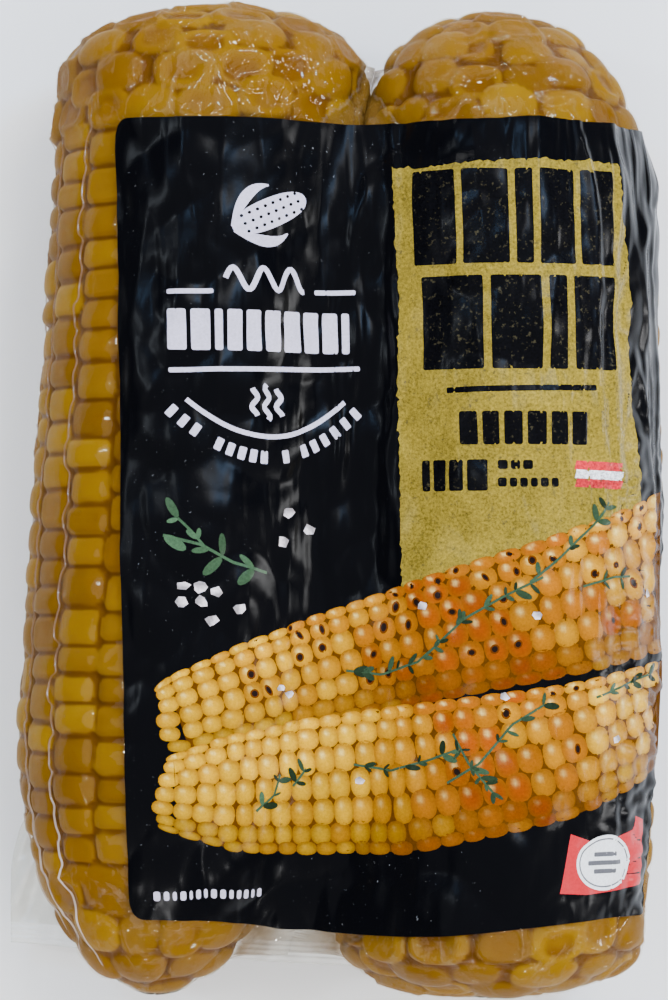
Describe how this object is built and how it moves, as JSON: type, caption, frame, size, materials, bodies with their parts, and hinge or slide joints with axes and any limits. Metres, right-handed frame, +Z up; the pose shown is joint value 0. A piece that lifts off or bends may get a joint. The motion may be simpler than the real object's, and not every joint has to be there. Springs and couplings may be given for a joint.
{
  "type": "vacuum pack of cooked corn cobs",
  "caption": "Clear vacuum film pack of cooked corn cobs lying side by side, with a large dark front label and a flat sealed fin; a grocery pack that lies on its back.",
  "frame": {"origin": "middle of the bounding box's base, on the surface the pack lies on", "axes": "+Y along the cobs towards the top of the label, +X to the right as the label is read, +Z up out of the label"},
  "size_m": [0.1054, 0.1594, 0.0507],
  "materials": {
    "film": "clear glossy vacuum film drawn tight over amber corn kernels",
    "corn": "wet amber kernels in rows, darker between them",
    "label": "glossy printed film label, black with gold and corn-coloured fields"
  },
  "bodies": {
    "root": {"bag": "film", "label": "label"}
  },
  "joints": []
}
